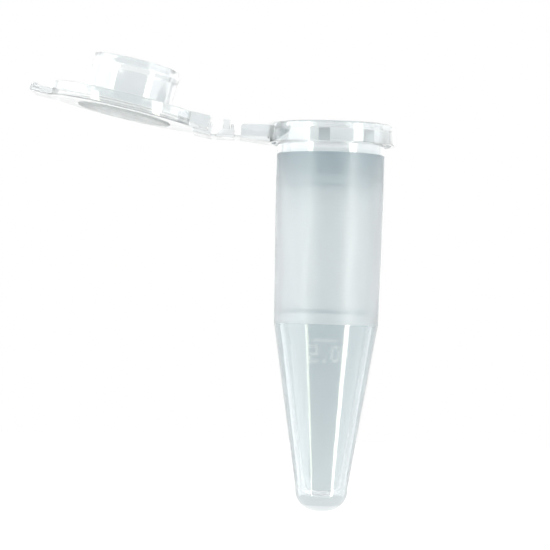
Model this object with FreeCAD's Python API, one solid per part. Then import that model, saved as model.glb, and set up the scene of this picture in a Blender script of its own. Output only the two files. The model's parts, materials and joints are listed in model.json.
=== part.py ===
import FreeCAD, Part
import math
import os
from FreeCAD import Vector

# Snap-cap microcentrifuge tube, 1.5 ml, stored with its lid swung open.
# Millimetres. +Z up the tube's axis, origin on the axis at the collar's underside.
# The hinge strap and the lid lie towards -X. The graduations are on the +Y side.

# ---- tube: heights along the axis ----
RIM_Z = 2.0
COLLAR_FLANGE_Z = 1.35
POLISHED_NECK_Z = -1.0
STRAIGHT_BAND_Z = -6.0
CONE_TOP_Z = -18.0
CONE_BOTTOM_Z = -34.4
TIP_Z = -36.7

# ---- tube: outer radii ----
COLLAR_R = 6.46
COLLAR_SKIRT_INNER_R = 6.0
COLLAR_EDGE_ROUND = 0.22
BARREL_R = 5.4
NECK_IN_COLLAR_R = 5.6
CONE_TOP_R = 5.22
CONE_BOTTOM_R = 2.62
TIP_FLAT_R = 0.8

# ---- tube: bore ----
MOUTH_R = 5.25
SEAL_R = 4.82
SEAL_TOP_Z = -2.0
SEAL_BOTTOM_Z = -3.2
BORE_R = 4.5
BORE_TOP_Z = -4.5
BORE_BOTTOM_Z = -16.5
INNER_TIP_R = 1.66
INNER_TIP_Z = -35.05
INNER_FLOOR_R = 0.35

# ---- collar ribs ----
RIB_COUNT = 8
RIB_WIDTH = 1.1
RIB_TURN = -8.0

# ---- graduations, raised on the +Y side ----
MARK_HEIGHT = 0.06
MARK_LINE_WIDTH = 0.28
MARK_LINE_HALF_ANGLE = 17.0
DIGIT_HEIGHT = 1.85
DIGIT_WIDTH = 1.15
DIGIT_STROKE = 0.26
DIGIT_GAP = 0.75
MARKS = (("0.5", -19.7), ("1.0", -11.7), ("1.5", -3.9))

# ---- hinge: two thin folds with a short link between them ----
TUBE_FOLD = Vector(-9.46, 0, 0.48)
LID_FOLD_IN_LID = Vector(9.3, 0, -0.8)
LID_CLOSED_GAP = 0.05
LINK_LENGTH = math.hypot(LID_FOLD_IN_LID.x + TUBE_FOLD.x,
                         RIM_Z + LID_CLOSED_GAP - LID_FOLD_IN_LID.z - TUBE_FOLD.z)
LINK_REST_TILT = 0.7
LID_REST_TILT = 11.65
FILM_THICKNESS = 0.2
FILM_REACH = 0.25
FILM_HALF_WIDTH = 2.3
STRAP_HALF_WIDTH = 2.5

# ---- hinge block on the tube ----
WEB_TOP_Z = 0.58
WEB_ROOT_Z = 0.02
EAR_INNER_Y = 1.6
EAR_END_X = -9.05
EAR_TOP_Z = 1.72
EAR_ROUND = 0.3

# ---- link ----
LINK_BASE_TOP = 0.15
LINK_BLOCK_TOP = 0.8
LINK_BLOCK_START = 0.3
LINK_BLOCK_END = 1.45
LINK_BLOCK_HALF_WIDTH = 1.4
PEG_START = 0.75
PEG_TOP = 1.8
PEG_HALF_WIDTH = 0.9
PEG_EDGE_ROUND = 0.15
FIN_START = 0.36
FIN_LENGTH = 0.26
FIN_TOP = 1.25

# ---- lid, drawn with its plug up and its hinge towards +X ----
LID_R = 7.84
LID_OUTER_FACE = -0.6
LID_EDGE_ROUND = 0.2
SKIRT_INNER_R = 7.1
SKIRT_TOP = 0.89
SKIRT_NOTCH_HALF_WIDTH = 2.8
SKIRT_NOTCH_START = 6.2
PANEL_R = 4.75
PANEL_FACE = -0.76
PANEL_BEVEL = 0.1
PLUG_R = 4.5
PLUG_INNER_R = 3.7
PLUG_END = 4.67
PLUG_END_R = 4.42
PLUG_TAPER = 0.35
PLUG_INNER_BEVEL = 0.12
BEAD_R = 4.66
BEAD_CENTRE = 3.85
BEAD_HALF_LENGTH = 0.5
TAB_END = 9.5
TAB_HALF_WIDTH = 3.1
TAB_TOP = 0.05
TAB_CORNER_R = 1.2
LIP_LENGTH = 0.5
LIP_TOP = 0.3
LUG_TOP = -0.1
LUG_BLOCK_END = 8.5
SHOULDER_END = 8.75
SHOULDER_OUTER_Y = 4.3
SHOULDER_ROUND = 0.7

AXIS_Y = Vector(0, 1, 0)
AXIS_Z = Vector(0, 0, 1)
ORIGIN = Vector(0, 0, 0)


def fold_in_rest():
    """Where the lid's fold line lies with the lid open."""
    tilt = math.radians(LINK_REST_TILT)
    reach = Vector(-LINK_LENGTH * math.cos(tilt), 0, LINK_LENGTH * math.sin(tilt))
    return TUBE_FOLD + reach


def polygon(points):
    """A flat face in the XZ plane from (x, z) points."""
    corners = [Vector(x, 0, z) for x, z in points]
    return Part.Face(Part.makePolygon(corners + corners[:1]))


def edges_face(edges):
    return Part.Face(Part.Wire(Part.__sortEdges__(edges)))


def turned(face):
    return face.revolve(ORIGIN, AXIS_Z, 360)


def ring(points):
    """A full turn of an (r, z) outline about the tube's or the lid's axis."""
    return turned(polygon(points))


def slab(points, half_width, middle=0.0):
    """An (x, z) outline carried across the strap's width."""
    face = polygon(points)
    face.translate(Vector(0, middle - half_width, 0))
    return face.extrude(Vector(0, 2 * half_width, 0))


def block(x0, x1, y0, y1, z0, z1):
    return Part.makeBox(x1 - x0, y1 - y0, z1 - z0, Vector(x0, y0, z0))


def outside_drum(shape, radius):
    """What is left of a shape outside an upright drum on the axis."""
    drum = Part.makeCylinder(radius, 40, Vector(0, 0, -20))
    return shape.cut(drum)


def bore_radius(z):
    """Radius of the tapered seal seat at a height."""
    share = (RIM_Z - z) / (RIM_Z - SEAL_TOP_Z)
    return MOUTH_R + (SEAL_R - MOUTH_R) * share


def outer_radius(z):
    """Outer radius of the barrel or the cone at a height."""
    if z >= STRAIGHT_BAND_Z:
        return BARREL_R
    if z >= CONE_TOP_Z:
        share = (STRAIGHT_BAND_Z - z) / (STRAIGHT_BAND_Z - CONE_TOP_Z)
        return BARREL_R + (CONE_TOP_R - BARREL_R) * share
    share = (CONE_TOP_Z - z) / (CONE_TOP_Z - CONE_BOTTOM_Z)
    return CONE_TOP_R + (CONE_BOTTOM_R - CONE_TOP_R) * share


def inner_cone_radius(z):
    """Inner radius of the cone at a height."""
    share = (BORE_BOTTOM_Z - z) / (BORE_BOTTOM_Z - CONE_BOTTOM_Z)
    return BORE_R + (INNER_TIP_R - BORE_R) * share


# ---- tube pieces ----

def neck_wall():
    return ring([
        (bore_radius(POLISHED_NECK_Z), POLISHED_NECK_Z),
        (BARREL_R, POLISHED_NECK_Z),
        (BARREL_R, 0),
        (NECK_IN_COLLAR_R, 0),
        (NECK_IN_COLLAR_R, RIM_Z),
        (MOUTH_R, RIM_Z),
    ])


def mouth_collar():
    """A flange and a short skirt, open underneath."""
    shape = ring([
        (NECK_IN_COLLAR_R, RIM_Z),
        (COLLAR_R, RIM_Z),
        (COLLAR_R, 0),
        (COLLAR_SKIRT_INNER_R, 0),
        (COLLAR_SKIRT_INNER_R, COLLAR_FLANGE_Z),
        (NECK_IN_COLLAR_R, COLLAR_FLANGE_Z),
    ])
    top_edges = [
        edge for edge in shape.Edges
        if isinstance(edge.Curve, Part.Circle)
        and abs(edge.Curve.Radius - COLLAR_R) < 1e-6
        and edge.Curve.Center.z > 1
    ]
    return shape.makeFillet(COLLAR_EDGE_ROUND, top_edges)


def collar_ribs():
    """Ribs across the collar's hollow, from the neck to the skirt."""
    channel = ring([
        (NECK_IN_COLLAR_R, 0),
        (COLLAR_SKIRT_INNER_R, 0),
        (COLLAR_SKIRT_INNER_R, COLLAR_FLANGE_Z),
        (NECK_IN_COLLAR_R, COLLAR_FLANGE_Z),
    ])
    ribs = []
    for number in range(RIB_COUNT):
        bar = block(0, COLLAR_R, -RIB_WIDTH / 2, RIB_WIDTH / 2, 0, COLLAR_FLANGE_Z)
        bar.rotate(ORIGIN, AXIS_Z, 90 + RIB_TURN + number * 360 / RIB_COUNT)
        ribs.extend(bar.common(channel).Solids)
    return Part.makeCompound(ribs)


def barrel_shell():
    return ring([
        (bore_radius(POLISHED_NECK_Z), POLISHED_NECK_Z),
        (SEAL_R, SEAL_TOP_Z),
        (SEAL_R, SEAL_BOTTOM_Z),
        (BORE_R, BORE_TOP_Z),
        (BORE_R, BORE_BOTTOM_Z),
        (inner_cone_radius(CONE_TOP_Z), CONE_TOP_Z),
        (CONE_TOP_R, CONE_TOP_Z),
        (BARREL_R, STRAIGHT_BAND_Z),
        (BARREL_R, POLISHED_NECK_Z),
    ])


def cone_shell():
    return ring([
        (inner_cone_radius(CONE_TOP_Z), CONE_TOP_Z),
        (INNER_TIP_R, CONE_BOTTOM_Z),
        (CONE_BOTTOM_R, CONE_BOTTOM_Z),
        (CONE_TOP_R, CONE_TOP_Z),
    ])


def rounded_tip():
    """The blunt end, with a dished floor inside."""
    inner_edge = Vector(INNER_TIP_R, 0, CONE_BOTTOM_Z)
    inner_mid = Vector(0.72 * INNER_TIP_R, 0, INNER_TIP_Z + 0.18)
    inner_low = Vector(INNER_FLOOR_R, 0, INNER_TIP_Z)
    outer_edge = Vector(CONE_BOTTOM_R, 0, CONE_BOTTOM_Z)
    outer_mid = Vector(0.82 * CONE_BOTTOM_R, 0, 0.33 * CONE_BOTTOM_Z + 0.67 * TIP_Z)
    outer_low = Vector(TIP_FLAT_R, 0, TIP_Z)
    edges = [
        Part.Arc(inner_edge, inner_mid, inner_low).toShape(),
        Part.LineSegment(inner_low, Vector(0, 0, INNER_TIP_Z)).toShape(),
        Part.LineSegment(Vector(0, 0, INNER_TIP_Z), Vector(0, 0, TIP_Z)).toShape(),
        Part.LineSegment(Vector(0, 0, TIP_Z), outer_low).toShape(),
        Part.Arc(outer_low, outer_mid, outer_edge).toShape(),
        Part.LineSegment(outer_edge, inner_edge).toShape(),
    ]
    return turned(edges_face(edges))


# ---- graduations ----

def skin(z_low, z_high):
    """A thin layer that follows the outside of the tube between two heights."""
    low = outer_radius(z_low)
    high = outer_radius(z_high)
    return ring([
        (low, z_low),
        (low + MARK_HEIGHT, z_low),
        (high + MARK_HEIGHT, z_high),
        (high, z_high),
    ])


def mark_line(z):
    """One raised line round part of the +Y side."""
    half = MARK_LINE_WIDTH / 2
    low = outer_radius(z - half)
    high = outer_radius(z + half)
    face = polygon([
        (low, z - half),
        (low + MARK_HEIGHT, z - half),
        (high + MARK_HEIGHT, z + half),
        (high, z + half),
    ])
    face.rotate(ORIGIN, AXIS_Z, 90 - MARK_LINE_HALF_ANGLE)
    return face.revolve(ORIGIN, AXIS_Z, 2 * MARK_LINE_HALF_ANGLE)


def flat_bar(x0, x1, z0, z1):
    """A stroke of a figure, deep enough to pass through the tube's front skin."""
    return block(x0, x1, 0, BARREL_R + 2, z0, z1)


def figure_zero():
    outer = Part.Ellipse(ORIGIN, DIGIT_HEIGHT / 2, DIGIT_WIDTH / 2).toShape()
    inner = Part.Ellipse(ORIGIN, DIGIT_HEIGHT / 2 - DIGIT_STROKE, DIGIT_WIDTH / 2 - DIGIT_STROKE).toShape()
    solid = Part.Face(Part.Wire(outer)).extrude(Vector(0, 0, BARREL_R + 2))
    hole = Part.Face(Part.Wire(inner)).extrude(Vector(0, 0, BARREL_R + 2))
    shape = solid.cut(hole)
    shape.rotate(ORIGIN, AXIS_Z, 90)
    shape.rotate(ORIGIN, Vector(1, 0, 0), -90)
    shape.translate(Vector(0, 0, -DIGIT_HEIGHT / 2))
    return shape


def figure_one():
    return flat_bar(-DIGIT_STROKE / 2, DIGIT_STROKE / 2, -DIGIT_HEIGHT, 0)


def figure_five():
    """Drawn as it is read from the +Y side, where +X is on the reader's left."""
    half = DIGIT_WIDTH / 2
    middle = -0.42 * DIGIT_HEIGHT
    strokes = [
        flat_bar(-half, half, -DIGIT_STROKE, 0),
        flat_bar(half - DIGIT_STROKE, half, middle, 0),
        flat_bar(-half, half, middle - DIGIT_STROKE, middle),
        flat_bar(-half, -half + DIGIT_STROKE, -DIGIT_HEIGHT, middle),
        flat_bar(-half, half, -DIGIT_HEIGHT, -DIGIT_HEIGHT + DIGIT_STROKE),
    ]
    shape = strokes[0].fuse(strokes[1:])
    return shape.removeSplitter()


def figure_point():
    half = DIGIT_STROKE / 2
    return flat_bar(-half, half, -DIGIT_HEIGHT, -DIGIT_HEIGHT + DIGIT_STROKE)


FIGURES = {"0": figure_zero, "1": figure_one, "5": figure_five, ".": figure_point}


def mark_figures(text, line_z):
    """The raised figures that hang just under one line."""
    top = line_z - MARK_LINE_WIDTH / 2 - DIGIT_STROKE
    layer = skin(top - DIGIT_HEIGHT - 0.1, top + 0.1)
    pieces = []
    for place, letter in enumerate(text):
        stroke = FIGURES[letter]()
        stroke.translate(Vector((1 - place) * (DIGIT_WIDTH / 2 + DIGIT_GAP), 0, top))
        pieces.extend(stroke.common(layer).Solids)
    return pieces


def graduation_lines():
    return Part.makeCompound([mark_line(z) for _, z in MARKS])


def graduation_numbers():
    pieces = []
    for text, z in MARKS:
        pieces.extend(mark_figures(text, z))
    return Part.makeCompound(pieces)


# ---- hinge pieces on the tube ----

def hinge_web():
    """A thin tongue from the collar out to the tube's fold."""
    film_low = TUBE_FOLD.z - FILM_THICKNESS / 2
    fold_side = TUBE_FOLD.x + FILM_REACH
    shape = slab([
        (fold_side, film_low),
        (-COLLAR_SKIRT_INNER_R, WEB_ROOT_Z),
        (-COLLAR_SKIRT_INNER_R, WEB_TOP_Z),
        (fold_side, WEB_TOP_Z),
    ], STRAP_HALF_WIDTH)
    return outside_drum(shape, COLLAR_R)


def hinge_ear():
    """One upright cheek on the web, with a rounded outer top corner."""
    middle = (STRAP_HALF_WIDTH + EAR_INNER_Y) / 2
    half = (STRAP_HALF_WIDTH - EAR_INNER_Y) / 2
    shape = slab([
        (EAR_END_X, WEB_TOP_Z),
        (-COLLAR_SKIRT_INNER_R, WEB_TOP_Z),
        (-COLLAR_SKIRT_INNER_R, EAR_TOP_Z),
        (EAR_END_X, EAR_TOP_Z),
    ], half, middle)
    corner = [
        edge for edge in shape.Edges
        if abs(edge.BoundBox.XMin - EAR_END_X) < 1e-6
        and abs(edge.BoundBox.XMax - EAR_END_X) < 1e-6
        and abs(edge.BoundBox.ZMin - EAR_TOP_Z) < 1e-6
    ]
    return outside_drum(shape.makeFillet(EAR_ROUND, corner), COLLAR_R)


def hinge_ears():
    right = hinge_ear()
    left = right.mirror(ORIGIN, AXIS_Y)
    return Part.makeCompound(right.Solids + left.Solids)


# ---- strap pieces, drawn straight out from the tube's fold along -X ----

def in_link(shape):
    """Moves a piece drawn with the fold at the origin to the strap's rest place."""
    shape.rotate(ORIGIN, AXIS_Y, LINK_REST_TILT)
    shape.translate(TUBE_FOLD)
    return shape


def link_slab(points, half_width):
    """An outline of (distance from the tube's fold, height) points."""
    return slab([(-along, height) for along, height in points], half_width)


def strap_plate():
    low = -FILM_THICKNESS / 2
    end = LINK_LENGTH - FILM_REACH
    base = link_slab([
        (FILM_REACH, low),
        (FILM_REACH, LINK_BASE_TOP),
        (end, LINK_BASE_TOP),
        (end, low),
    ], FILM_HALF_WIDTH)
    raised = link_slab([
        (LINK_BLOCK_START, LINK_BASE_TOP),
        (LINK_BLOCK_START, LINK_BLOCK_TOP),
        (LINK_BLOCK_END, LINK_BLOCK_TOP),
        (LINK_BLOCK_END + LINK_BLOCK_TOP - LINK_BASE_TOP, LINK_BASE_TOP),
    ], LINK_BLOCK_HALF_WIDTH)
    return in_link(base.fuse(raised).removeSplitter())


def strap_peg():
    """The short post that drops between the ears when the lid shuts."""
    shape = block(-LINK_BLOCK_END, -PEG_START, -PEG_HALF_WIDTH, PEG_HALF_WIDTH, LINK_BLOCK_TOP, PEG_TOP)
    upright = [edge for edge in shape.Edges if abs(edge.BoundBox.ZLength - (PEG_TOP - LINK_BLOCK_TOP)) < 1e-6]
    return in_link(shape.makeFillet(PEG_EDGE_ROUND, upright))


def strap_fin():
    """A thin stiffening fin across the block, beside the tube's fold."""
    shape = block(-FIN_START - FIN_LENGTH, -FIN_START,
                  -LINK_BLOCK_HALF_WIDTH, LINK_BLOCK_HALF_WIDTH, LINK_BLOCK_TOP, FIN_TOP)
    return in_link(shape)


def tube_fold_film():
    half = FILM_THICKNESS / 2
    tilt = math.radians(LINK_REST_TILT)
    far = Vector(-FILM_REACH * math.cos(tilt), 0, FILM_REACH * math.sin(tilt))
    side = Vector(half * math.sin(tilt), 0, half * math.cos(tilt))
    far_top = TUBE_FOLD + far + side
    far_low = TUBE_FOLD + far - side
    return slab([
        (TUBE_FOLD.x + FILM_REACH, TUBE_FOLD.z - half),
        (TUBE_FOLD.x + FILM_REACH, TUBE_FOLD.z + half),
        (far_top.x, far_top.z),
        (far_low.x, far_low.z),
    ], FILM_HALF_WIDTH)


def lid_fold_film():
    """The thin fold beside the lid, bent a little at its middle."""
    half = FILM_THICKNESS / 2
    middle = fold_in_rest()
    link = math.radians(LINK_REST_TILT)
    lid = math.radians(LID_REST_TILT)
    mean = (link + lid) / 2
    bend = half / math.cos((lid - link) / 2)
    near = middle + Vector(FILM_REACH * math.cos(link), 0, -FILM_REACH * math.sin(link))
    far = middle + Vector(-FILM_REACH * math.cos(lid), 0, FILM_REACH * math.sin(lid))
    stations = ((near, link, half), (middle, mean, bend), (far, lid, half))
    top = [(p.x + h * math.sin(a), p.z + h * math.cos(a)) for p, a, h in stations]
    low = [(p.x - h * math.sin(a), p.z - h * math.cos(a)) for p, a, h in stations]
    return slab(top + low[::-1], FILM_HALF_WIDTH)


# ---- lid pieces, drawn about the lid's own axis with the plug up ----

def in_lid(shape):
    """Moves a lid piece to where the open lid lies."""
    shape.translate(-LID_FOLD_IN_LID)
    shape.rotate(ORIGIN, AXIS_Y, LID_REST_TILT)
    shape.translate(fold_in_rest())
    return shape


def lid_plate():
    shape = ring([
        (0, LID_OUTER_FACE),
        (LID_R, LID_OUTER_FACE),
        (LID_R, 0),
        (0, 0),
    ])
    outer_edge = [
        edge for edge in shape.Edges
        if isinstance(edge.Curve, Part.Circle) and abs(edge.Curve.Center.z - LID_OUTER_FACE) < 1e-6
    ]
    return in_lid(shape.makeFillet(LID_EDGE_ROUND, outer_edge))


def lid_label_panel():
    """The slightly raised round panel on the lid's outer face."""
    return in_lid(ring([
        (0, LID_OUTER_FACE),
        (PANEL_R, LID_OUTER_FACE),
        (PANEL_R - PANEL_BEVEL, PANEL_FACE),
        (0, PANEL_FACE),
    ]))


def lid_skirt():
    """The rim wall round the lid, cut away over the strap."""
    wall = ring([
        (SKIRT_INNER_R, 0),
        (LID_R, 0),
        (LID_R, SKIRT_TOP - LID_EDGE_ROUND / 2),
        (LID_R - LID_EDGE_ROUND / 2, SKIRT_TOP),
        (SKIRT_INNER_R + LID_EDGE_ROUND, SKIRT_TOP),
        (SKIRT_INNER_R, SKIRT_TOP - LID_EDGE_ROUND),
    ])
    notch = block(SKIRT_NOTCH_START, LID_R + 1,
                  -SKIRT_NOTCH_HALF_WIDTH, SKIRT_NOTCH_HALF_WIDTH, -1, SKIRT_TOP + 1)
    return in_lid(wall.cut(notch))


def sealing_plug():
    """The hollow plug that goes down the mouth."""
    return in_lid(ring([
        (PLUG_INNER_R, 0),
        (PLUG_R, 0),
        (PLUG_R, PLUG_END - PLUG_TAPER),
        (PLUG_END_R, PLUG_END),
        (PLUG_INNER_R + PLUG_INNER_BEVEL, PLUG_END),
        (PLUG_INNER_R, PLUG_END - PLUG_INNER_BEVEL),
    ]))


def plug_bead():
    """The rounded sealing ring on the plug."""
    low = Vector(PLUG_R, 0, BEAD_CENTRE - BEAD_HALF_LENGTH)
    high = Vector(PLUG_R, 0, BEAD_CENTRE + BEAD_HALF_LENGTH)
    crest = Vector(BEAD_R, 0, BEAD_CENTRE)
    edges = [Part.LineSegment(low, high).toShape(), Part.Arc(high, crest, low).toShape()]
    return in_lid(turned(edges_face(edges)))


def thumb_tab():
    """The flat lip on the side away from the hinge."""
    shape = block(-TAB_END, -SKIRT_NOTCH_START, -TAB_HALF_WIDTH, TAB_HALF_WIDTH, LID_OUTER_FACE, TAB_TOP)
    corners = [
        edge for edge in shape.Edges
        if abs(edge.BoundBox.ZLength - (TAB_TOP - LID_OUTER_FACE)) < 1e-6
        and abs(edge.BoundBox.XMin + TAB_END) < 1e-6
    ]
    return in_lid(outside_drum(shape.makeFillet(TAB_CORNER_R, corners), LID_R))


def tab_lip():
    """The raised grip along the tab's edge."""
    half = TAB_HALF_WIDTH - TAB_CORNER_R
    shape = block(-TAB_END, -TAB_END + LIP_LENGTH, -half, half, TAB_TOP, LIP_TOP)
    return in_lid(shape)


def lid_hinge_lug():
    """The block that joins the lid's edge to its fold."""
    film_low = LID_FOLD_IN_LID.z - FILM_THICKNESS / 2
    film_top = LID_FOLD_IN_LID.z + FILM_THICKNESS / 2
    end = LID_FOLD_IN_LID.x - FILM_REACH
    shape = slab([
        (SKIRT_INNER_R, film_low),
        (end, film_low),
        (end, film_top),
        (LUG_BLOCK_END, LUG_TOP),
        (SKIRT_INNER_R, LUG_TOP),
    ], SKIRT_NOTCH_HALF_WIDTH)
    return in_lid(outside_drum(shape, LID_R))


def lid_shoulder():
    """One corner block beside the lug, level with the skirt."""
    shape = block(SKIRT_NOTCH_START, SHOULDER_END,
                  SKIRT_NOTCH_HALF_WIDTH, SHOULDER_OUTER_Y, LID_OUTER_FACE, SKIRT_TOP)
    corner = [
        edge for edge in shape.Edges
        if abs(edge.BoundBox.XMin - SHOULDER_END) < 1e-6
        and abs(edge.BoundBox.YMin - SHOULDER_OUTER_Y) < 1e-6
    ]
    return outside_drum(shape.makeFillet(SHOULDER_ROUND, corner), LID_R)


def lid_shoulders():
    right = lid_shoulder()
    left = right.mirror(ORIGIN, AXIS_Y)
    return in_lid(Part.makeCompound(right.Solids + left.Solids))


NODES = {
    "neck_wall": neck_wall,
    "mouth_collar": mouth_collar,
    "collar_ribs": collar_ribs,
    "barrel_shell": barrel_shell,
    "cone_shell": cone_shell,
    "rounded_tip": rounded_tip,
    "graduation_lines": graduation_lines,
    "graduation_numbers": graduation_numbers,
    "hinge_web": hinge_web,
    "hinge_ears": hinge_ears,
    "tube_fold_film": tube_fold_film,
    "strap_plate": strap_plate,
    "strap_peg": strap_peg,
    "strap_fin": strap_fin,
    "lid_fold_film": lid_fold_film,
    "lid_plate": lid_plate,
    "lid_label_panel": lid_label_panel,
    "lid_skirt": lid_skirt,
    "sealing_plug": sealing_plug,
    "plug_bead": plug_bead,
    "thumb_tab": thumb_tab,
    "tab_lip": tab_lip,
    "lid_hinge_lug": lid_hinge_lug,
    "lid_shoulders": lid_shoulders,
}

os.makedirs("parts", exist_ok=True)
for name, make in NODES.items():
    shape = make()
    shape.exportStep("parts/" + name + ".step")
    print(name, len(shape.Solids), shape.isValid(), round(shape.Volume, 3))
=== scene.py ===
import json
import math

import bmesh
import bpy
from mathutils import Matrix, Vector


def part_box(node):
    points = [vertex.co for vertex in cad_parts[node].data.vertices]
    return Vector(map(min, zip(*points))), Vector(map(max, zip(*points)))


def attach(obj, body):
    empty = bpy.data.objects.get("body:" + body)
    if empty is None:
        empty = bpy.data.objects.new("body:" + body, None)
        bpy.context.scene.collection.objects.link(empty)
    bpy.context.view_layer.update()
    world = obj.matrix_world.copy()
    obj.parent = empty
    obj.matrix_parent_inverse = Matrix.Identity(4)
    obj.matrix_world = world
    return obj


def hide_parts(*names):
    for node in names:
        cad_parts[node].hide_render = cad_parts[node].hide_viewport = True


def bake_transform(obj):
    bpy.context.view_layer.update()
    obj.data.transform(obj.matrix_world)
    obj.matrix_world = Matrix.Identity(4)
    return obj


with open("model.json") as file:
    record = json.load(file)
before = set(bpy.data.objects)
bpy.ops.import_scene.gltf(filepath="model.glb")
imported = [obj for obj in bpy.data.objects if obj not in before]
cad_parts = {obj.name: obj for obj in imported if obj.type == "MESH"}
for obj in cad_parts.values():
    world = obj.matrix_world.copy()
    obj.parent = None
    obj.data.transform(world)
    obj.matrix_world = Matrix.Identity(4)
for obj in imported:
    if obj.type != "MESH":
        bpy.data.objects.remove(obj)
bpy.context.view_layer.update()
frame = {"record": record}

MM = 0.001
RECORD = frame["record"]
JOINTS = {joint["name"]: joint for joint in RECORD["behaviour"]["joints"]}
MOUNTS = {mount["name"]: mount for mount in RECORD["mounts"]}


def box_mm(node):
    """Lowest and highest corner of a CAD node, in millimetres."""
    low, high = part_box(node)
    return Vector(low) / MM, Vector(high) / MM


# ---- sizes in millimetres, from the frame where it states them ----
COLLAR_HIGH = box_mm("mouth_collar")[1]
BARREL_HIGH = box_mm("barrel_shell")[1]
CONE_HIGH = box_mm("cone_shell")[1]
TIP_LOW, TIP_HIGH = box_mm("rounded_tip")
EAR_LOW, EAR_HIGH = box_mm("hinge_ears")
WEB_LOW, WEB_HIGH = box_mm("hinge_web")
TUBE_FOLD = Vector(JOINTS["strap_fold"]["pos_m"]) / MM
LID_FOLD = Vector(JOINTS["lid_fold"]["pos_m"]) / MM

# the tube's outside
RIM_Z = COLLAR_HIGH.z
COLLAR_R = COLLAR_HIGH.x
COLLAR_SKIRT_INNER_R = 6.0
COLLAR_FLANGE_Z = 1.35
BARREL_R = MOUNTS["barrel_pin"]["dims"]["r_mm"]
NECK_IN_COLLAR_R = 5.6
NECK_SLOPE_Z = 0.15
STRAIGHT_BAND_Z = -MOUNTS["barrel_pin"]["dims"]["length_mm"]
SATIN_TOP_Z = BARREL_HIGH.z
CONE_TOP_Z = CONE_HIGH.z
CONE_TOP_R = CONE_HIGH.x
TIP_TOP_Z = TIP_HIGH.z
TIP_TOP_R = TIP_HIGH.x
TIP_Z = TIP_LOW.z
TIP_FLAT_R = 0.8
TIP_MIDDLE = (0.82 * TIP_TOP_R, 0.33 * TIP_TOP_Z + 0.67 * TIP_Z)
GATE_R = 0.45
GATE_STEP = 0.1
GATE_DEPTH = 0.12

# the tube's inside
BORE_R = MOUNTS["mouth_bore"]["dims"]["r_mm"]
BORE_HALF = MOUNTS["mouth_bore"]["dims"]["length_mm"] / 2
BORE_MIDDLE_Z = -10.5
BORE_TOP_Z = BORE_MIDDLE_Z + BORE_HALF
BORE_BOTTOM_Z = BORE_MIDDLE_Z - BORE_HALF
MOUTH_R = 5.25
SEAL_R = 4.82
SEAL_TOP_Z = -2.0
SEAL_BOTTOM_Z = -3.2
INNER_TIP_R = 1.66
INNER_FLOOR_Z = -35.05
INNER_FLOOR_R = 0.35
INNER_MIDDLE = (0.72 * INNER_TIP_R, INNER_FLOOR_Z + 0.18)

# the sloped bands at the bore's two ends carry painted shade for the dark lines at the steps: each
# reaches from the bore to this height
STEP_HIGH_Z = -4.0
STEP_HIGH_SHARE = (STEP_HIGH_Z - BORE_TOP_Z) / (SEAL_BOTTOM_Z - BORE_TOP_Z)
STEP_HIGH_R = BORE_R + (SEAL_R - BORE_R) * STEP_HIGH_SHARE
STEP_LOW_Z = -16.95
STEP_LOW_SHARE = (BORE_BOTTOM_Z - STEP_LOW_Z) / (BORE_BOTTOM_Z - TIP_TOP_Z)
STEP_LOW_R = BORE_R + (INNER_TIP_R - BORE_R) * STEP_LOW_SHARE

# a face less than this far in from the outer radius counts as outside
WALL_SKIN = 0.3

# the collar's ribs
RIB_COUNT = 8
RIB_WIDTH = 1.1
RIB_TURN = math.radians(-8)
RIB_LOW_Z = 0.02
RIB_CLEARANCE = 0.015

# the graduations
MARK_HEIGHT = 0.06
MARK_SINK = 0.12
LINE_HALF_ANGLE = math.radians(17)
LINE_WIDTH = 0.28
FIGURE_HEIGHT = 1.85
FIGURE_WIDTH = 1.15
FIGURE_STROKE = 0.3
FIGURE_GAP = 0.75
FIVE_BAR_SHARE = 0.42
MARKS = (("0.5", -19.7), ("1.0", -11.7), ("1.5", -3.9))

# the tongue and the two cheeks on the collar
HINGE_ROOT_X = -(COLLAR_SKIRT_INNER_R + 0.15)
EAR_INNER_Y = 1.6
EAR_SINK = 0.1

# the strap, along it from the tube's fold and up from the film
FILM_HALF = 0.1
FILM_THINNEST = 0.72
FILM_ROWS = 12
FILM_REACH = 0.25
FILM_OVERLAP = 0.03
FILM_HALF_WIDTH = 2.3
STRAP_HALF_WIDTH = 2.5
LINK_LENGTH = (LID_FOLD - TUBE_FOLD).length
LINK_BASE_TOP = 0.15
LINK_BLOCK = (0.3, 1.45)
LINK_BLOCK_TOP = 0.8
LINK_BLOCK_HALF_WIDTH = 1.4
LINK_BLOCK_SINK = 0.1
PEG_START = 0.75
PEG_TOP = 1.8
PEG_HALF_WIDTH = 0.9
PEG_SINK = 0.2
FIN = (0.36, 0.62)
FIN_TOP = 1.25
FIN_HALF_WIDTH = LINK_BLOCK_HALF_WIDTH - 0.02

# the lid, about its own axis with the plug up and the hinge towards +X
LID_TILT = math.radians(11.65)
LID_FOLD_IN_LID = Vector((9.3, 0, -0.8))
LID_R = 7.84
LID_OUTER_FACE = -0.6
BLOCK_UNDERSIDE = LID_OUTER_FACE + 0.01
SKIRT_INNER_R = 7.1
SKIRT_TOP = 0.89
NOTCH_HALF_WIDTH = 2.8
NOTCH_START = 6.2
NOTCH_FLOOR = 0.001
NOTCH_CUT_END = LID_R + 1
NOTCH_CUT_TOP = 2
PANEL_R = 4.75
PANEL_SLOPE = 0.1
PANEL_FACE = -0.76
PLUG_R = 4.5
PLUG_INNER_R = 3.7
PLUG_END = 4.67
PLUG_END_R = 4.42
PLUG_NOSE = 0.35
PLUG_ROOT_R = PLUG_R - 0.05
BEAD_R = 4.66
BEAD_CENTRE = 3.85
BEAD_HALF = 0.5
TAB_ROOT = 7.1
TAB_END = 9.5
TAB_HALF_WIDTH = 3.1
TAB_TOP = 0.05
LIP_SETBACK = 0.05
LIP_LENGTH = 0.5
LIP_HALF_WIDTH = 1.9
LIP_SINK = 0.2
LIP_TOP = 0.3
LUG_START = SKIRT_INNER_R + 0.1
LUG_BLOCK_END = 8.5
LUG_TOP = -0.1
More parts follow.
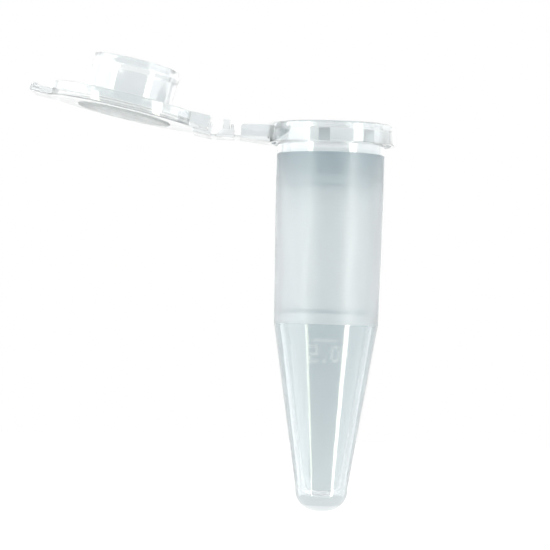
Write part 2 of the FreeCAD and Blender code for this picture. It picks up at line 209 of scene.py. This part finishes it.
SHOULDER_START = NOTCH_START + 0.6
SHOULDER_END = 8.75
SHOULDER_OUTER_Y = 4.3

ROUND_STEPS = 192
ROW_HEIGHT = 1.2
# face zones; the third is painted shade on the inner wall round the seal seat
CLEAR, SATIN, SEAT_SHADE, MARK, PANEL, CONE = range(6)
SMOOTH_BELOW = math.radians(38)


# ---- outlines ----

def softened(corners, steps=4):
    """Points of an outline whose corners are (across, up, radius), each rounded by its radius."""
    points = []
    for place, (x, z, radius) in enumerate(corners):
        here = Vector((x, z))
        if radius == 0:
            points.append(here)
            continue
        before = Vector(corners[place - 1][:2])
        after = Vector(corners[(place + 1) % len(corners)][:2])
        to_before = (before - here).normalized()
        to_after = (after - here).normalized()
        half_angle = to_before.angle(to_after) / 2
        reach = radius / math.tan(half_angle)
        middle = here + (to_before + to_after).normalized() * (radius / math.sin(half_angle))
        start = here + to_before * reach - middle
        end = here + to_after * reach - middle
        turn = start.angle_signed(end)
        for step in range(steps + 1):
            spun = start.copy()
            spun.rotate(Matrix.Rotation(-turn * step / steps, 2))
            points.append(middle + spun)
    return points


# ---- meshes ----

def finished(name, bm, materials):
    """A mesh object from a bmesh in millimetres, with its faces outward."""
    bmesh.ops.remove_doubles(bm, verts=bm.verts, dist=1e-5)
    bmesh.ops.recalc_face_normals(bm, faces=bm.faces)
    mesh = bpy.data.meshes.new(name)
    bm.to_mesh(mesh)
    bm.free()
    for material in materials:
        mesh.materials.append(material)
    piece = bpy.data.objects.new(name, mesh)
    bpy.context.scene.collection.objects.link(piece)
    return piece


def in_rows(points):
    """The same outline with its long straight runs cut into rows."""
    rows = []
    for point, after in zip(points, points[1:] + points[:1]):
        count = max(1, round((after - point).length / ROW_HEIGHT))
        rows.extend(point.lerp(after, step / count) for step in range(count))
    return rows


def lathed(name, points, materials, zone=None):
    """A closed turned solid from an outline of (radius, height) points."""
    bm = bmesh.new()
    rings = []
    for point in in_rows(points):
        if point[0] < 1e-6:
            rings.append([bm.verts.new((0, 0, point[1]))])
            continue
        ring = []
        for step in range(ROUND_STEPS):
            angle = 2 * math.pi * (step + 0.5) / ROUND_STEPS
            ring.append(bm.verts.new((point[0] * math.cos(angle), point[0] * math.sin(angle), point[1])))
        rings.append(ring)
    for place, ring in enumerate(rings):
        after = rings[(place + 1) % len(rings)]
        if len(ring) == 1 and len(after) == 1:
            continue
        for step in range(ROUND_STEPS):
            beside = (step + 1) % ROUND_STEPS
            corners = [ring[step % len(ring)], ring[beside % len(ring)],
                       after[beside % len(after)], after[step % len(after)]]
            unique = list(dict.fromkeys(corners))
            face = bm.faces.new(unique)
            if zone:
                face.material_index = zone(face.calc_center_median())
    return finished(name, bm, materials)


def slab(name, points, y_low, y_high, materials, bevel=0.0):
    """A closed solid of an (x, z) outline between two widths, with its edges rounded."""
    bm = bmesh.new()
    near = [bm.verts.new((x, y_low, z)) for x, z in points]
    far = [bm.verts.new((x, y_high, z)) for x, z in points]
    bm.faces.new(near)
    bm.faces.new(far[::-1])
    for place in range(len(points)):
        after = (place + 1) % len(points)
        bm.faces.new((near[place], near[after], far[after], far[place]))
    if bevel:
        bmesh.ops.bevel(bm, geom=bm.edges[:], offset=bevel, segments=3, profile=0.5, affect="EDGES")
    return finished(name, bm, materials)


def oblong(name, low, high, materials, bevel=0.0):
    """A box with rounded edges."""
    corners = [(low[0], low[2]), (high[0], low[2]), (high[0], high[2]), (low[0], high[2])]
    return slab(name, corners, low[1], high[1], materials, bevel)


def moved(piece, matrix):
    """Turns or shifts a piece's mesh."""
    piece.data.transform(matrix)
    return piece


def combined(piece, others, operation="UNION"):
    """Joins other solids to a piece, or cuts them from it, and removes them."""
    for other in others:
        change = piece.modifiers.new(operation, "BOOLEAN")
        change.operation = operation
        change.object = other
        change.solver = "EXACT"
    graph = bpy.context.evaluated_depsgraph_get()
    mesh = bpy.data.meshes.new_from_object(piece.evaluated_get(graph))
    piece.modifiers.clear()
    piece.data = mesh
    for other in others:
        bpy.data.objects.remove(other)
    return piece


def to_metres(piece):
    """Scales a finished piece to metres and smooths what curves."""
    piece.data.transform(Matrix.Scale(MM, 4))
    piece.data.shade_smooth()
    piece.data.set_sharp_from_angle(angle=SMOOTH_BELOW)
    return piece


# ---- materials ----

POLYPROPYLENE_IOR = 1.49
COAT_ROUGHNESS = 0.03
FLOW_GRAINS = (900, 900, 160)
FLOW_RANGE = (0.3, 0.7)
HAZE_RANGE = (0.85, 1.2)
MILK_VARIATION = 0.97
GRAIN_DEPTH_M = 0.00004


def noise(material, scale, detail):
    """A noise texture in the plastic, in its own axes, with so many grains a metre along each."""
    nodes = material.node_tree.nodes
    place = nodes.new("ShaderNodeTexCoord")
    stretch = nodes.new("ShaderNodeMapping")
    stretch.inputs["Scale"].default_value = scale
    texture = nodes.new("ShaderNodeTexNoise")
    texture.inputs["Scale"].default_value = 1.0
    texture.inputs["Detail"].default_value = detail
    material.node_tree.links.new(place.outputs["Object"], stretch.inputs["Vector"])
    material.node_tree.links.new(stretch.outputs["Vector"], texture.inputs["Vector"])
    return texture.outputs["Fac"]


def clear_plastic(name, colour, clarity, haze, gloss_level, coat=0.0,
                  grain=0.0, grain_scale=(2500, 2500, 2500)):
    """Translucent polypropylene: a milky body, flow marks in its haze and a fine surface grain."""
    material = bpy.data.materials.new(name)
    material.use_nodes = True
    nodes = material.node_tree.nodes
    links = material.node_tree.links
    shader = nodes["Principled BSDF"]
    shader.inputs["IOR"].default_value = POLYPROPYLENE_IOR
    shader.inputs["Transmission Weight"].default_value = clarity
    shader.inputs["Specular IOR Level"].default_value = gloss_level
    shader.inputs["Coat Weight"].default_value = coat
    shader.inputs["Coat Roughness"].default_value = COAT_ROUGHNESS
    flow = noise(material, FLOW_GRAINS, 4)
    gloss = nodes.new("ShaderNodeMapRange")
    gloss.inputs["From Min"].default_value = FLOW_RANGE[0]
    gloss.inputs["From Max"].default_value = FLOW_RANGE[1]
    gloss.inputs["To Min"].default_value = haze * HAZE_RANGE[0]
    gloss.inputs["To Max"].default_value = haze * HAZE_RANGE[1]
    milk = nodes.new("ShaderNodeMix")
    milk.name = "milk"
    milk.data_type = "RGBA"
    milk.inputs["A"].default_value = (*colour, 1)
    milk.inputs["B"].default_value = (*[MILK_VARIATION * part for part in colour], 1)
    links.new(flow, gloss.inputs["Value"])
    links.new(flow, milk.inputs["Factor"])
    links.new(milk.outputs["Result"], shader.inputs["Base Color"])
    links.new(gloss.outputs["Result"], shader.inputs["Roughness"])
    if grain:
        bump = nodes.new("ShaderNodeBump")
        bump.inputs["Strength"].default_value = grain
        bump.inputs["Distance"].default_value = GRAIN_DEPTH_M
        links.new(noise(material, grain_scale, 3), bump.inputs["Height"])
        links.new(bump.outputs["Normal"], shader.inputs["Normal"])
    return material


def darkened_by_height(material, tint, z_top, z_bottom, bend_power):
    """Darkens a plastic by multiplying in a tint, in full at the top height and fading by a power to none
    at the bottom one.
    """
    nodes = material.node_tree.nodes
    links = material.node_tree.links
    place = nodes.new("ShaderNodeTexCoord")
    split = nodes.new("ShaderNodeSeparateXYZ")
    share = nodes.new("ShaderNodeMapRange")
    share.inputs["From Min"].default_value = z_bottom * MM
    share.inputs["From Max"].default_value = z_top * MM
    bend = nodes.new("ShaderNodeMath")
    bend.operation = "POWER"
    bend.inputs[1].default_value = bend_power
    tinted = nodes.new("ShaderNodeMix")
    tinted.data_type = "RGBA"
    tinted.blend_type = "MULTIPLY"
    tinted.inputs["B"].default_value = (*tint, 1)
    links.new(place.outputs["Object"], split.inputs["Vector"])
    links.new(split.outputs["Z"], share.inputs["Value"])
    links.new(share.outputs["Result"], bend.inputs[0])
    links.new(bend.outputs["Value"], tinted.inputs["Factor"])
    links.new(nodes["milk"].outputs["Result"], tinted.inputs["A"])
    links.new(tinted.outputs["Result"], nodes["Principled BSDF"].inputs["Base Color"])


POLISHED = clear_plastic("polished_polypropylene", (0.9, 0.93, 0.94),
                         clarity=0.87, haze=0.12, gloss_level=0.4, coat=0.6)
FROSTED = clear_plastic("satin_polypropylene", (0.71, 0.76, 0.78),
                        clarity=0.94, haze=0.4, gloss_level=0.8,
                        grain=0.4, grain_scale=(700, 700, 5000))
# a darker plastic that paints shade on the inner wall round the seal seat, under the collar
SEAT_SHADE_PLASTIC = clear_plastic("seat_painted_shade_polypropylene", (0.7, 0.765, 0.78),
                      clarity=0.94, haze=0.12, gloss_level=0.12, coat=0.45)
# the cone's darker plastic, also on the collar ribs and painting shade on the bore's two end bands
CONE_AND_SHADE_PLASTIC = clear_plastic("cone_polypropylene", (0.68, 0.74, 0.755),
                      clarity=0.94, haze=0.13, gloss_level=0.14, coat=0.22)
RAISED = clear_plastic("raised_marks_polypropylene", (0.97, 0.98, 0.985),
                       clarity=0.85, haze=0.5, gloss_level=0.5, grain=0.3)
# the label panel's darker tint is partly its satin finish and partly painted shade
LABEL = clear_plastic("label_polypropylene", (0.72, 0.77, 0.76),
                      clarity=0.94, haze=0.35, gloss_level=0.5, grain=0.3)
# painted shade under the collar: the satin barrel is darkened most just below the collar and fades out by
# this height
SHADE_END_Z = -9
darkened_by_height(FROSTED, (0.5, 0.59, 0.635), SATIN_TOP_Z, SHADE_END_Z, bend_power=2.2)
# the cone is tinted darker towards its top, fading to none at the tip
darkened_by_height(CONE_AND_SHADE_PLASTIC, (0.81, 0.85, 0.87), CONE_TOP_Z, TIP_TOP_Z, bend_power=1.0)

# in the order of the face zones CLEAR, SATIN, the seal seat's painted shade, MARK, PANEL and CONE
PLASTICS = [POLISHED, FROSTED, SEAT_SHADE_PLASTIC, RAISED, LABEL, CONE_AND_SHADE_PLASTIC]


# ---- tube ----

def outer_radius(z):
    """Outer radius of the barrel or the cone at a height."""
    if z >= STRAIGHT_BAND_Z:
        return BARREL_R
    if z >= CONE_TOP_Z:
        share = (STRAIGHT_BAND_Z - z) / (STRAIGHT_BAND_Z - CONE_TOP_Z)
        return BARREL_R + (CONE_TOP_R - BARREL_R) * share
    share = (CONE_TOP_Z - z) / (CONE_TOP_Z - TIP_TOP_Z)
    return CONE_TOP_R + (TIP_TOP_R - CONE_TOP_R) * share


def round_end(start, middle, end, steps=14):
    """Corners along the arc through three points."""
    start, middle, end = Vector(start), Vector(middle), Vector(end)
    chord = (middle - start, end - start)
    across = 2 * (chord[0].x * chord[1].y - chord[0].y * chord[1].x)
    squares = (chord[0].length_squared, chord[1].length_squared)
    centre = start + Vector((chord[1].y * squares[0] - chord[0].y * squares[1],
                             chord[0].x * squares[1] - chord[1].x * squares[0])) / across
    first = start - centre
    turn = first.angle_signed(end - centre)
    points = []
    for step in range(steps + 1):
        spun = first.copy()
        spun.rotate(Matrix.Rotation(-turn * step / steps, 2))
        points.append((*(centre + spun), 0))
    return points


def tube_outline():
    """The tube's wall from the floor inside, over the rim and down to the tip."""
    return softened([
        (0, INNER_FLOOR_Z, 0),
        *round_end((INNER_FLOOR_R, INNER_FLOOR_Z), INNER_MIDDLE, (INNER_TIP_R, TIP_TOP_Z)),
        (STEP_LOW_R, STEP_LOW_Z, 0),
        (BORE_R, BORE_BOTTOM_Z, 0.8),
        (BORE_R, BORE_TOP_Z, 0.5),
        (STEP_HIGH_R, STEP_HIGH_Z, 0),
        (SEAL_R, SEAL_BOTTOM_Z, 0.4),
        (SEAL_R, SEAL_TOP_Z, 2.0),
        (MOUTH_R, RIM_Z, 0.12),
        (COLLAR_R, RIM_Z, 0.22),
        (COLLAR_R, 0, 0.1),
        (COLLAR_SKIRT_INNER_R, 0, 0.08),
        (COLLAR_SKIRT_INNER_R, COLLAR_FLANGE_Z, 0.12),
        (NECK_IN_COLLAR_R, COLLAR_FLANGE_Z, 0.12),
        (NECK_IN_COLLAR_R, NECK_SLOPE_Z, 0),
        (BARREL_R, 0, 0),
        (BARREL_R, SATIN_TOP_Z, 0),
        (BARREL_R, STRAIGHT_BAND_Z, 0),
        (CONE_TOP_R, CONE_TOP_Z, 0.4),
        *round_end((TIP_TOP_R, TIP_TOP_Z), TIP_MIDDLE, (TIP_FLAT_R, TIP_Z)),
        (GATE_R, TIP_Z, 0),
        (GATE_R - GATE_STEP, TIP_Z + GATE_STEP, 0),
        (0, TIP_Z + GATE_DEPTH, 0),
    ], steps=5)


def wall_zone(middle):
    """Outside, the barrel is frosted and the cone darker; inside, the wall round the seal seat and both
    ends of the bore carry painted shade.
    """
    outside = math.hypot(middle.x, middle.y) > outer_radius(middle.z) - WALL_SKIN
    if outside:
        return CONE if middle.z < CONE_TOP_Z else SATIN if middle.z < SATIN_TOP_Z else CLEAR
    # painted shade: the sloped bands at both ends of the bore get the cone's darker plastic
    if STEP_LOW_Z < middle.z < BORE_BOTTOM_Z or BORE_TOP_Z < middle.z < STEP_HIGH_Z:
        return CONE
    # painted shade: the inner wall round the seal seat, under the collar, gets the darker plastic
    return SEAT_SHADE if BORE_TOP_Z < middle.z < SATIN_TOP_Z else CLEAR


def ribs():
    """Ribs that fill the collar's hollow from the neck to the skirt, a hair clear of both."""
    low = (NECK_IN_COLLAR_R + RIB_CLEARANCE, -RIB_WIDTH / 2, RIB_LOW_Z)
    high_x = COLLAR_SKIRT_INNER_R - 3 * RIB_CLEARANCE
    high = (high_x, RIB_WIDTH / 2, COLLAR_FLANGE_Z - RIB_CLEARANCE)
    pieces = []
    for number in range(RIB_COUNT):
        rib = oblong(f"rib_{number}", low, high, PLASTICS, bevel=0.12)
        for face in rib.data.polygons:
            face.material_index = CONE
        turn = math.pi / 2 + RIB_TURN + 2 * math.pi * number / RIB_COUNT
        pieces.append(moved(rib, Matrix.Rotation(turn, 4, "Z")))
    first = pieces[0]
    first.name = "collar_rib_blocks"
    return to_metres(combined(first, pieces[1:]))


def hinge_block():
    """The tongue and the two cheeks that the strap grows out of."""
    web = slab("web", [
        (WEB_LOW.x, WEB_HIGH.z),
        (WEB_LOW.x, TUBE_FOLD.z - FILM_HALF),
        (HINGE_ROOT_X, WEB_LOW.z),
        (HINGE_ROOT_X, WEB_HIGH.z),
    ], -STRAP_HALF_WIDTH, STRAP_HALF_WIDTH, PLASTICS, bevel=0.04)
    pieces = [web]
    for side in (-1, 1):
        y_low, y_high = sorted((side * EAR_INNER_Y, side * STRAP_HALF_WIDTH))
        corners = softened([
            (EAR_LOW.x, WEB_HIGH.z - EAR_SINK, 0),
            (HINGE_ROOT_X, WEB_HIGH.z - EAR_SINK, 0),
            (HINGE_ROOT_X, EAR_HIGH.z, 0),
            (EAR_LOW.x, EAR_HIGH.z, 0.3),
        ])
        pieces.append(slab("ear", corners, y_low, y_high, PLASTICS, bevel=0.05))
    return pieces


def on_wall(bm, lift, sink):
    """Wraps flat strokes, drawn across X and up Z, onto the tube's +Y side."""
    for vert in bm.verts:
        depth = lift if vert.co.y > 0 else -sink
        radius = outer_radius(vert.co.z) + depth
        angle = math.pi / 2 - vert.co.x / outer_radius(vert.co.z)
        vert.co = Vector((radius * math.cos(angle), radius * math.sin(angle), vert.co.z))


def stroke(name, outline, hole=None):
    """A raised stroke from a flat closed outline of (across, up) points, with a hole if one is given."""
    bm = bmesh.new()
    loops = [outline] + ([hole] if hole else [])
    layers = []
    for y in (-1, 1):
        layers.append([[bm.verts.new((x, y, z)) for x, z in loop] for loop in loops])
    for near, far in zip(*layers):
        for place in range(len(near)):
            after = (place + 1) % len(near)
            bm.faces.new((near[place], near[after], far[after], far[place]))
    for layer in layers:
        if hole:
            outer, inner = layer
            for place in range(len(outer)):
                after = (place + 1) % len(outer)
                bm.faces.new((outer[place], outer[after], inner[after], inner[place]))
        else:
            bm.faces.new(layer[0])
    bm.normal_update()
    bmesh.ops.triangulate(bm, faces=bm.faces[:])
    for face in bm.faces:
        face.material_index = MARK
    on_wall(bm, MARK_HEIGHT, MARK_SINK)
    return finished(name, bm, PLASTICS)


def oval(half_width, half_height, middle, steps=32):
    """Points of an oval round a middle."""
    turns = [2 * math.pi * step / steps for step in range(steps)]
    return [(middle[0] + half_width * math.cos(t), middle[1] + half_height * math.sin(t)) for t in turns]


def figure(letter, x, top):
    """The strokes of one raised figure, as a reader on the +Y side sees it."""
    half = FIGURE_WIDTH / 2
    low = top - FIGURE_HEIGHT
    thick = FIGURE_STROKE
    if letter == "0":
        middle = (x, top - FIGURE_HEIGHT / 2)
        outer = oval(half, FIGURE_HEIGHT / 2, middle)
        return [stroke("zero", outer, oval(half - thick, FIGURE_HEIGHT / 2 - thick, middle))]
    if letter == "1":
        return [stroke("one", rectangle(x - thick / 2, x + thick / 2, low, top))]
    if letter == ".":
        return [stroke("point", rectangle(x - thick / 2, x + thick / 2, low, low + thick))]
    bar = top - FIVE_BAR_SHARE * FIGURE_HEIGHT
    five = [
        (x + half, top), (x - half, top), (x - half, top - thick), (x + half - thick, top - thick),
        (x + half - thick, bar), (x - half, bar), (x - half, low), (x + half, low),
        (x + half, low + thick), (x - half + thick, low + thick), (x - half + thick, bar - thick),
        (x + half, bar - thick),
    ]
    return [stroke("five", five)]


def rectangle(x_low, x_high, z_low, z_high, steps=1):
    """Points of a rectangle whose long sides are cut into steps, so that it bends round the wall."""
    bottom = [(x_low + (x_high - x_low) * s / steps, z_low) for s in range(steps + 1)]
    top = [(x_high - (x_high - x_low) * s / steps, z_high) for s in range(steps + 1)]
    return bottom + top


def graduations():
    """A raised line for each volume, with its figures under it."""
    pieces = []
    for text, z in MARKS:
        reach = LINE_HALF_ANGLE * outer_radius(z)
        line = rectangle(-reach, reach, z - LINE_WIDTH / 2, z + LINE_WIDTH / 2, steps=12)
        pieces.append(stroke("line", line))
        top = z - LINE_WIDTH / 2 - FIGURE_STROKE
        for place, letter in enumerate(text):
            x = (1 - place) * (FIGURE_WIDTH / 2 + FIGURE_GAP)
            pieces.extend(figure(letter, x, top))
    return pieces


def tube_body():
    """The tube's wall with its hinge block and its graduations, in one closed mesh."""
    body = lathed("tube_body", tube_outline(), PLASTICS, wall_zone)
    combined(body, hinge_block())
    combined(body, graduations())
    return to_metres(body)


# ---- lid ----

IN_LID = (Matrix.Translation(LID_FOLD) @ Matrix.Rotation(LID_TILT, 4, "Y")
          @ Matrix.Translation(-LID_FOLD_IN_LID))


def lid_outline():
    """Half the lid's section: inside the plug, over its end, out to the skirt and under."""
    return softened([
        (0, 0, 0),
        (PLUG_INNER_R, 0, 0.35),
        (PLUG_INNER_R, PLUG_END, 0.12),
        (PLUG_END_R, PLUG_END, 0.1),
        (PLUG_R, PLUG_END - PLUG_NOSE, 0.2),
        (BEAD_R, BEAD_CENTRE, 0.5),
        (PLUG_R, BEAD_CENTRE - BEAD_HALF, 0.4),
        (PLUG_ROOT_R, 0, 0.25),
        (SKIRT_INNER_R, 0, 0.2),
        (SKIRT_INNER_R, SKIRT_TOP, 0.15),
        (LID_R, SKIRT_TOP, 0.12),
        (LID_R, LID_OUTER_FACE, 0.2),
        (PANEL_R, LID_OUTER_FACE, 0.05),
        (PANEL_R - PANEL_SLOPE, PANEL_FACE, 0.05),
        (0, PANEL_FACE, 0),
    ], steps=5)


def lid_zone(middle):
    """The raised label panel on the lid's outer face is satin, with a darker tint that is partly its
    finish and partly painted shade.
    """
    return PANEL if middle.z < LID_OUTER_FACE else CLEAR


def lid_body():
    """The lid's turned body with its notch, thumb tab, hinge lug and shoulders, in one closed mesh."""
    body = lathed("lid_body", lid_outline(), PLASTICS, lid_zone)
    notch_low = (NOTCH_START, -NOTCH_HALF_WIDTH, NOTCH_FLOOR)
    notch = oblong("notch", notch_low, (NOTCH_CUT_END, NOTCH_HALF_WIDTH, NOTCH_CUT_TOP), PLASTICS)
    combined(body, [notch], "DIFFERENCE")
    tab_low = (-TAB_END, -TAB_HALF_WIDTH, BLOCK_UNDERSIDE)
    tab = oblong("tab", tab_low, (-TAB_ROOT, TAB_HALF_WIDTH, TAB_TOP), PLASTICS, bevel=0.1)
    lip_low = (-TAB_END + LIP_SETBACK, -LIP_HALF_WIDTH, TAB_TOP - LIP_SINK)
    lip_high = (-TAB_END + LIP_LENGTH, LIP_HALF_WIDTH, LIP_TOP)
    lip = oblong("lip", lip_low, lip_high, PLASTICS, bevel=0.08)
    film_z = LID_FOLD_IN_LID.z
    end = LID_FOLD_IN_LID.x - FILM_REACH
    lug = slab("lug", [
        (LUG_START, film_z - FILM_HALF),
        (end, film_z - FILM_HALF),
        (end, film_z + FILM_HALF),
        (LUG_BLOCK_END, LUG_TOP),
        (LUG_START, LUG_TOP),
    ], -NOTCH_HALF_WIDTH, NOTCH_HALF_WIDTH, PLASTICS, bevel=0.04)
    shoulders = []
    for side in (-1, 1):
        y_low, y_high = sorted((side * NOTCH_HALF_WIDTH, side * SHOULDER_OUTER_Y))
        shoulder = oblong("shoulder", (SHOULDER_START, y_low, BLOCK_UNDERSIDE),
                          (SHOULDER_END, y_high, SKIRT_TOP), PLASTICS, bevel=0.08)
        shoulders.append(shoulder)
    combined(body, [tab, lip, lug] + shoulders)
    return to_metres(moved(body, IN_LID))


# ---- strap ----

def along_link(points):
    """Places (distance from the tube's fold, height over the film) points in the frame."""
    along = (LID_FOLD - TUBE_FOLD).normalized()
    up = Vector((along.z, 0, -along.x))
    found = [TUBE_FOLD + along * s + up * h for s, h in points]
    return [(p.x, p.z) for p in found]


def link_slab(name, s_range, h_range, half_width, bevel):
    """A block on the strap, from its two distances along, two heights and half its width."""
    corners = [(s_range[0], h_range[0]), (s_range[1], h_range[0]),
               (s_range[1], h_range[1]), (s_range[0], h_range[1])]
    return slab(name, along_link(corners), -half_width, half_width, PLASTICS, bevel)


def strap_link():
    """The stiff link between the two folds: its base, the raised block, the peg and the fin."""
    end = LINK_LENGTH - FILM_REACH
    base_heights = (-FILM_HALF, LINK_BASE_TOP)
    base = link_slab("strap_link", (FILM_REACH, end), base_heights, FILM_HALF_WIDTH, bevel=0.04)
    block_low = LINK_BASE_TOP - LINK_BLOCK_SINK
    raised = slab("raised", along_link([
        (LINK_BLOCK[0], block_low),
        (LINK_BLOCK[0], LINK_BLOCK_TOP),
        (LINK_BLOCK[1], LINK_BLOCK_TOP),
        (LINK_BLOCK[1] + LINK_BLOCK_TOP - block_low, block_low),
    ]), -LINK_BLOCK_HALF_WIDTH, LINK_BLOCK_HALF_WIDTH, PLASTICS, bevel=0.05)
    low = LINK_BLOCK_TOP - PEG_SINK
    peg = link_slab("peg", (PEG_START, LINK_BLOCK[1]), (low, PEG_TOP), PEG_HALF_WIDTH, bevel=0.1)
    fin = link_slab("fin", FIN, (low, FIN_TOP), FIN_HALF_WIDTH, bevel=0.05)
    combined(base, [raised, peg, fin])
    return to_metres(base)


def film(name, start, fold, end):
    """A thin fold from one block to the next, with enough rows to bend."""
    bm = bmesh.new()
    stations = []
    for row in range(FILM_ROWS + 1):
        share = row / FILM_ROWS
        near = start.lerp(fold, share)
        far = fold.lerp(end, share)
        middle = near.lerp(far, share)
        along = (far - near).normalized()
        up = Vector((-along.z, 0, along.x))
        if up.z < 0:
            up = -up
        thin = FILM_HALF * (FILM_THINNEST + (1 - FILM_THINNEST) * abs(2 * share - 1))
        ring = []
        for h, y in ((-1, -1), (1, -1), (1, 1), (-1, 1)):
            spot = middle + up * thin * h
            ring.append(bm.verts.new((spot.x, y * FILM_HALF_WIDTH, spot.z)))
        stations.append(ring)
    for before, after in zip(stations, stations[1:]):
        for corner in range(4):
            beside = (corner + 1) % 4
            bm.faces.new((before[corner], before[beside], after[beside], after[corner]))
    bm.faces.new(stations[0])
    bm.faces.new(stations[-1][::-1])
    return to_metres(finished(name, bm, PLASTICS))


def fold_films():
    """The tube's film and the lid's film, each a little way into the blocks on both sides."""
    along = (LID_FOLD - TUBE_FOLD).normalized()
    over = FILM_REACH + FILM_OVERLAP
    out_of_lid = (IN_LID.to_3x3() @ Vector((-1, 0, 0))).normalized()
    first = film("tube_hinge_film", TUBE_FOLD + Vector((over, 0, 0)), TUBE_FOLD, TUBE_FOLD + along * over)
    second = film("lid_hinge_film", LID_FOLD - along * over, LID_FOLD, LID_FOLD + out_of_lid * over)
    return first, second


# ---- the pieces on their bodies ----

tube = tube_body()
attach(tube, "tube")
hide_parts("neck_wall", "mouth_collar", "barrel_shell", "cone_shell", "rounded_tip",
            "graduation_lines", "graduation_numbers", "hinge_web", "hinge_ears")

rib_blocks = ribs()
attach(rib_blocks, "tube")
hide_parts("collar_ribs")

lid = lid_body()
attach(lid, "lid")
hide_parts("lid_plate", "lid_label_panel", "lid_skirt", "sealing_plug", "plug_bead", "thumb_tab",
            "tab_lip", "lid_hinge_lug", "lid_shoulders")

link = strap_link()
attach(link, "strap")
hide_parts("strap_plate", "strap_peg", "strap_fin")

tube_film, lid_film = fold_films()
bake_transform(tube_film)
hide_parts("tube_fold_film")
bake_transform(lid_film)
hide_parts("lid_fold_film")


# ---- floor, light and camera ----

FLOOR_HALF_WIDTH = 4000
FLOOR_Z = -260
LIGHT_AIM_Z = -15
PANEL_DISTANCE = 600
PANEL_HEIGHT = 1200
BACK_PANEL_SHARE = 0.6
RIM_PANEL_Z = 175
STRIP_DISTANCE = 260
STRIP_HEIGHT = 120
CONE_STRIP_Z = -115
BARREL_STRIP_Z = 10
WHITE = (1, 1, 1)


def floor():
    """A wide pale floor, well below the tip."""
    bm = bmesh.new()
    bmesh.ops.create_grid(bm, x_segments=1, y_segments=1, size=FLOOR_HALF_WIDTH)
    for vert in bm.verts:
        vert.co.z = FLOOR_Z
    material = bpy.data.materials.new("pale_floor")
    material.use_nodes = True
    shader = material.node_tree.nodes["Principled BSDF"]
    shader.inputs["Base Color"].default_value = (0.35, 0.35, 0.35, 1)
    shader.inputs["Roughness"].default_value = 0.9
    shader.inputs["Emission Color"].default_value = (1, 1, 1, 1)
    shader.inputs["Emission Strength"].default_value = 0.75
    ground = to_metres(finished("floor", bm, [material]))


def softbox(name, azimuth, height, distance, width, tall, brightness, colour):
    """A soft light that reflections show, at an azimuth where 0 is the camera's side."""
    data = bpy.data.lights.new(name, "AREA")
    data.shape = "RECTANGLE"
    data.size = width * MM
    data.size_y = tall * MM
    data.energy = brightness * math.pi * data.size * data.size_y
    data.color = colour
    lamp = bpy.data.objects.new(name, data)
    bpy.context.scene.collection.objects.link(lamp)
    turn = math.radians(azimuth)
    spot = Vector((math.sin(turn) * distance, -math.cos(turn) * distance, height))
    lamp.location = spot * MM
    aim = Vector((0, 0, LIGHT_AIM_Z)) - spot
    lamp.rotation_mode = "QUATERNION"
    lamp.rotation_quaternion = aim.to_track_quat("-Z", "Y")
    lamp.visible_camera = False
    lamp.visible_diffuse = False
    lamp.visible_transmission = False


def studio():
    """A white room with soft panels round the tube and four narrow bright strips."""
    world = bpy.data.worlds.new("studio")
    bpy.context.scene.world = world
    world.use_nodes = True
    room = world.node_tree.nodes["Background"]
    room.inputs["Color"].default_value = (1, 1, 1, 1)
    room.inputs["Strength"].default_value = 1.0
    for side, name, brightness in ((-1, "left", 4.0), (1, "right", 2.4)):
        softbox(f"front_{name}_panel", side * 70, 0, PANEL_DISTANCE,
                width=550, tall=PANEL_HEIGHT, brightness=brightness, colour=WHITE)
        softbox(f"back_{name}_panel", side * 110, 0, PANEL_DISTANCE,
                width=320, tall=PANEL_HEIGHT, brightness=BACK_PANEL_SHARE * brightness, colour=WHITE)
        softbox(f"rim_{name}_panel", side * 145, RIM_PANEL_Z, PANEL_DISTANCE,
                width=400, tall=450, brightness=1.0, colour=WHITE)
    softbox("right_cone_strip", 47, CONE_STRIP_Z, STRIP_DISTANCE,
            width=50, tall=STRIP_HEIGHT, brightness=18, colour=(1.0, 0.94, 0.8))
    softbox("left_cone_strip", -45, CONE_STRIP_Z, STRIP_DISTANCE,
            width=30, tall=STRIP_HEIGHT, brightness=8, colour=(0.95, 1.0, 0.75))
    softbox("right_barrel_strip", 47, BARREL_STRIP_Z, STRIP_DISTANCE,
            width=75, tall=STRIP_HEIGHT, brightness=9, colour=(1.0, 0.96, 0.88))
    softbox("left_barrel_strip", -45, BARREL_STRIP_Z, STRIP_DISTANCE,
            width=50, tall=STRIP_HEIGHT, brightness=9, colour=(0.96, 1.0, 0.86))


CAMERA_DISTANCE = 219
CAMERA_X = -5.26
CAMERA_HEIGHT = -17.2
AIM_HEIGHT = -13.2
CAMERA_ROLL = math.radians(1.65)
FRAME_WIDTH = 55.28
SENSOR_WIDTH = 36


def camera():
    """Level with the cone, looking slightly up, with the tube leaning a little right."""
    data = bpy.data.cameras.new("camera")
    data.sensor_width = SENSOR_WIDTH
    data.lens = SENSOR_WIDTH * CAMERA_DISTANCE / FRAME_WIDTH
    data.clip_start = 0.01
    data.clip_end = 20
    eye = bpy.data.objects.new("camera", data)
    bpy.context.scene.collection.objects.link(eye)
    spot = Vector((CAMERA_X, -CAMERA_DISTANCE, CAMERA_HEIGHT))
    aim = Vector((CAMERA_X, 0, AIM_HEIGHT)) - spot
    eye.location = spot * MM
    eye.rotation_mode = "QUATERNION"
    level = aim.to_track_quat("-Z", "Y")
    eye.rotation_quaternion = level @ Matrix.Rotation(CAMERA_ROLL, 3, "Z").to_quaternion()
    bpy.context.scene.camera = eye


floor()
studio()
camera()
bpy.context.scene.view_settings.view_transform = "Standard"
